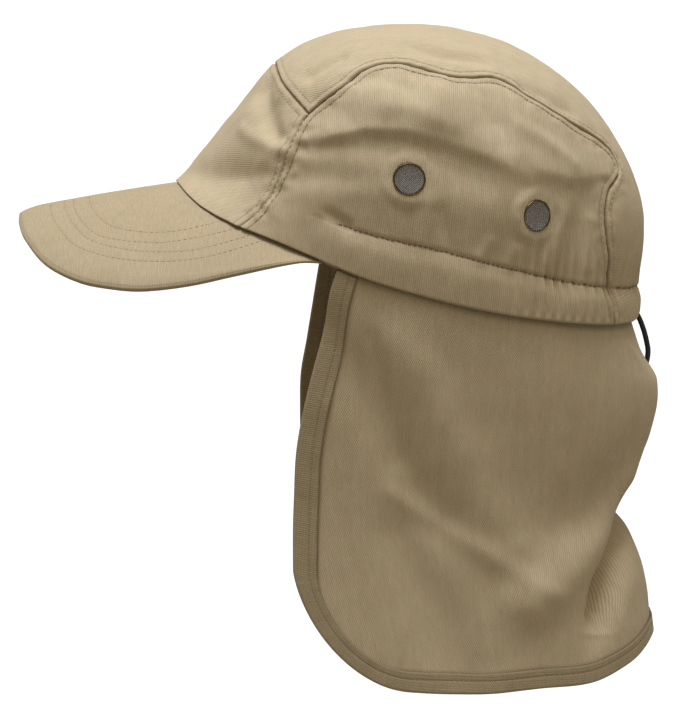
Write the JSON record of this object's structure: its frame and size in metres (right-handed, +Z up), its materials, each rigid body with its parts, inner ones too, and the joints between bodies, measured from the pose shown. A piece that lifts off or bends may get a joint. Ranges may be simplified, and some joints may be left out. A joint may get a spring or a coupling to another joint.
{
  "type": "legionnaire cap",
  "caption": "Soft cotton cap with a curved bill, mesh side vents, a gathered draw-cord casing and a taped neck flap.",
  "frame": {"origin": "the centre of the head opening, level with the rim at the sides, where the cap sits on a head", "axes": "-X forward, where the bill points; -Y the wearer's left, the side that the picture shows; +Z up"},
  "size_m": [0.2799, 0.166, 0.2809],
  "materials": {
    "cotton_twill": "matt khaki cotton twill",
    "bill_twill": "matt khaki cotton twill, pressed smooth over the bill",
    "band_cotton": "matt khaki cotton",
    "twill_tape": "matt khaki twill tape, a little darker and greener",
    "aged_brass": "dark antique brass, worn lighter on its edge",
    "wire_mesh": "dull dark grey wire mesh",
    "black_cord": "black braided elastic cord",
    "lock_plastic": "matt black plastic"
  },
  "bodies": {
    "root": {"crown_front_panel": "cotton_twill", "crown_top_panel": "cotton_twill", "crown_side_panel_left": "cotton_twill", "crown_side_panel_right": "cotton_twill", "sweatband": "band_cotton", "bill": "bill_twill", "neck_flap": "cotton_twill", "flap_tape": "twill_tape", "vent_ring_front_left": "aged_brass", "vent_mesh_front_left": "wire_mesh", "vent_ring_rear_left": "aged_brass", "vent_mesh_rear_left": "wire_mesh", "vent_ring_front_right": "aged_brass", "vent_mesh_front_right": "wire_mesh", "vent_ring_rear_right": "aged_brass", "vent_mesh_rear_right": "wire_mesh", "draw_cord": "black_cord", "cord_lock": "lock_plastic"}
  },
  "joints": []
}
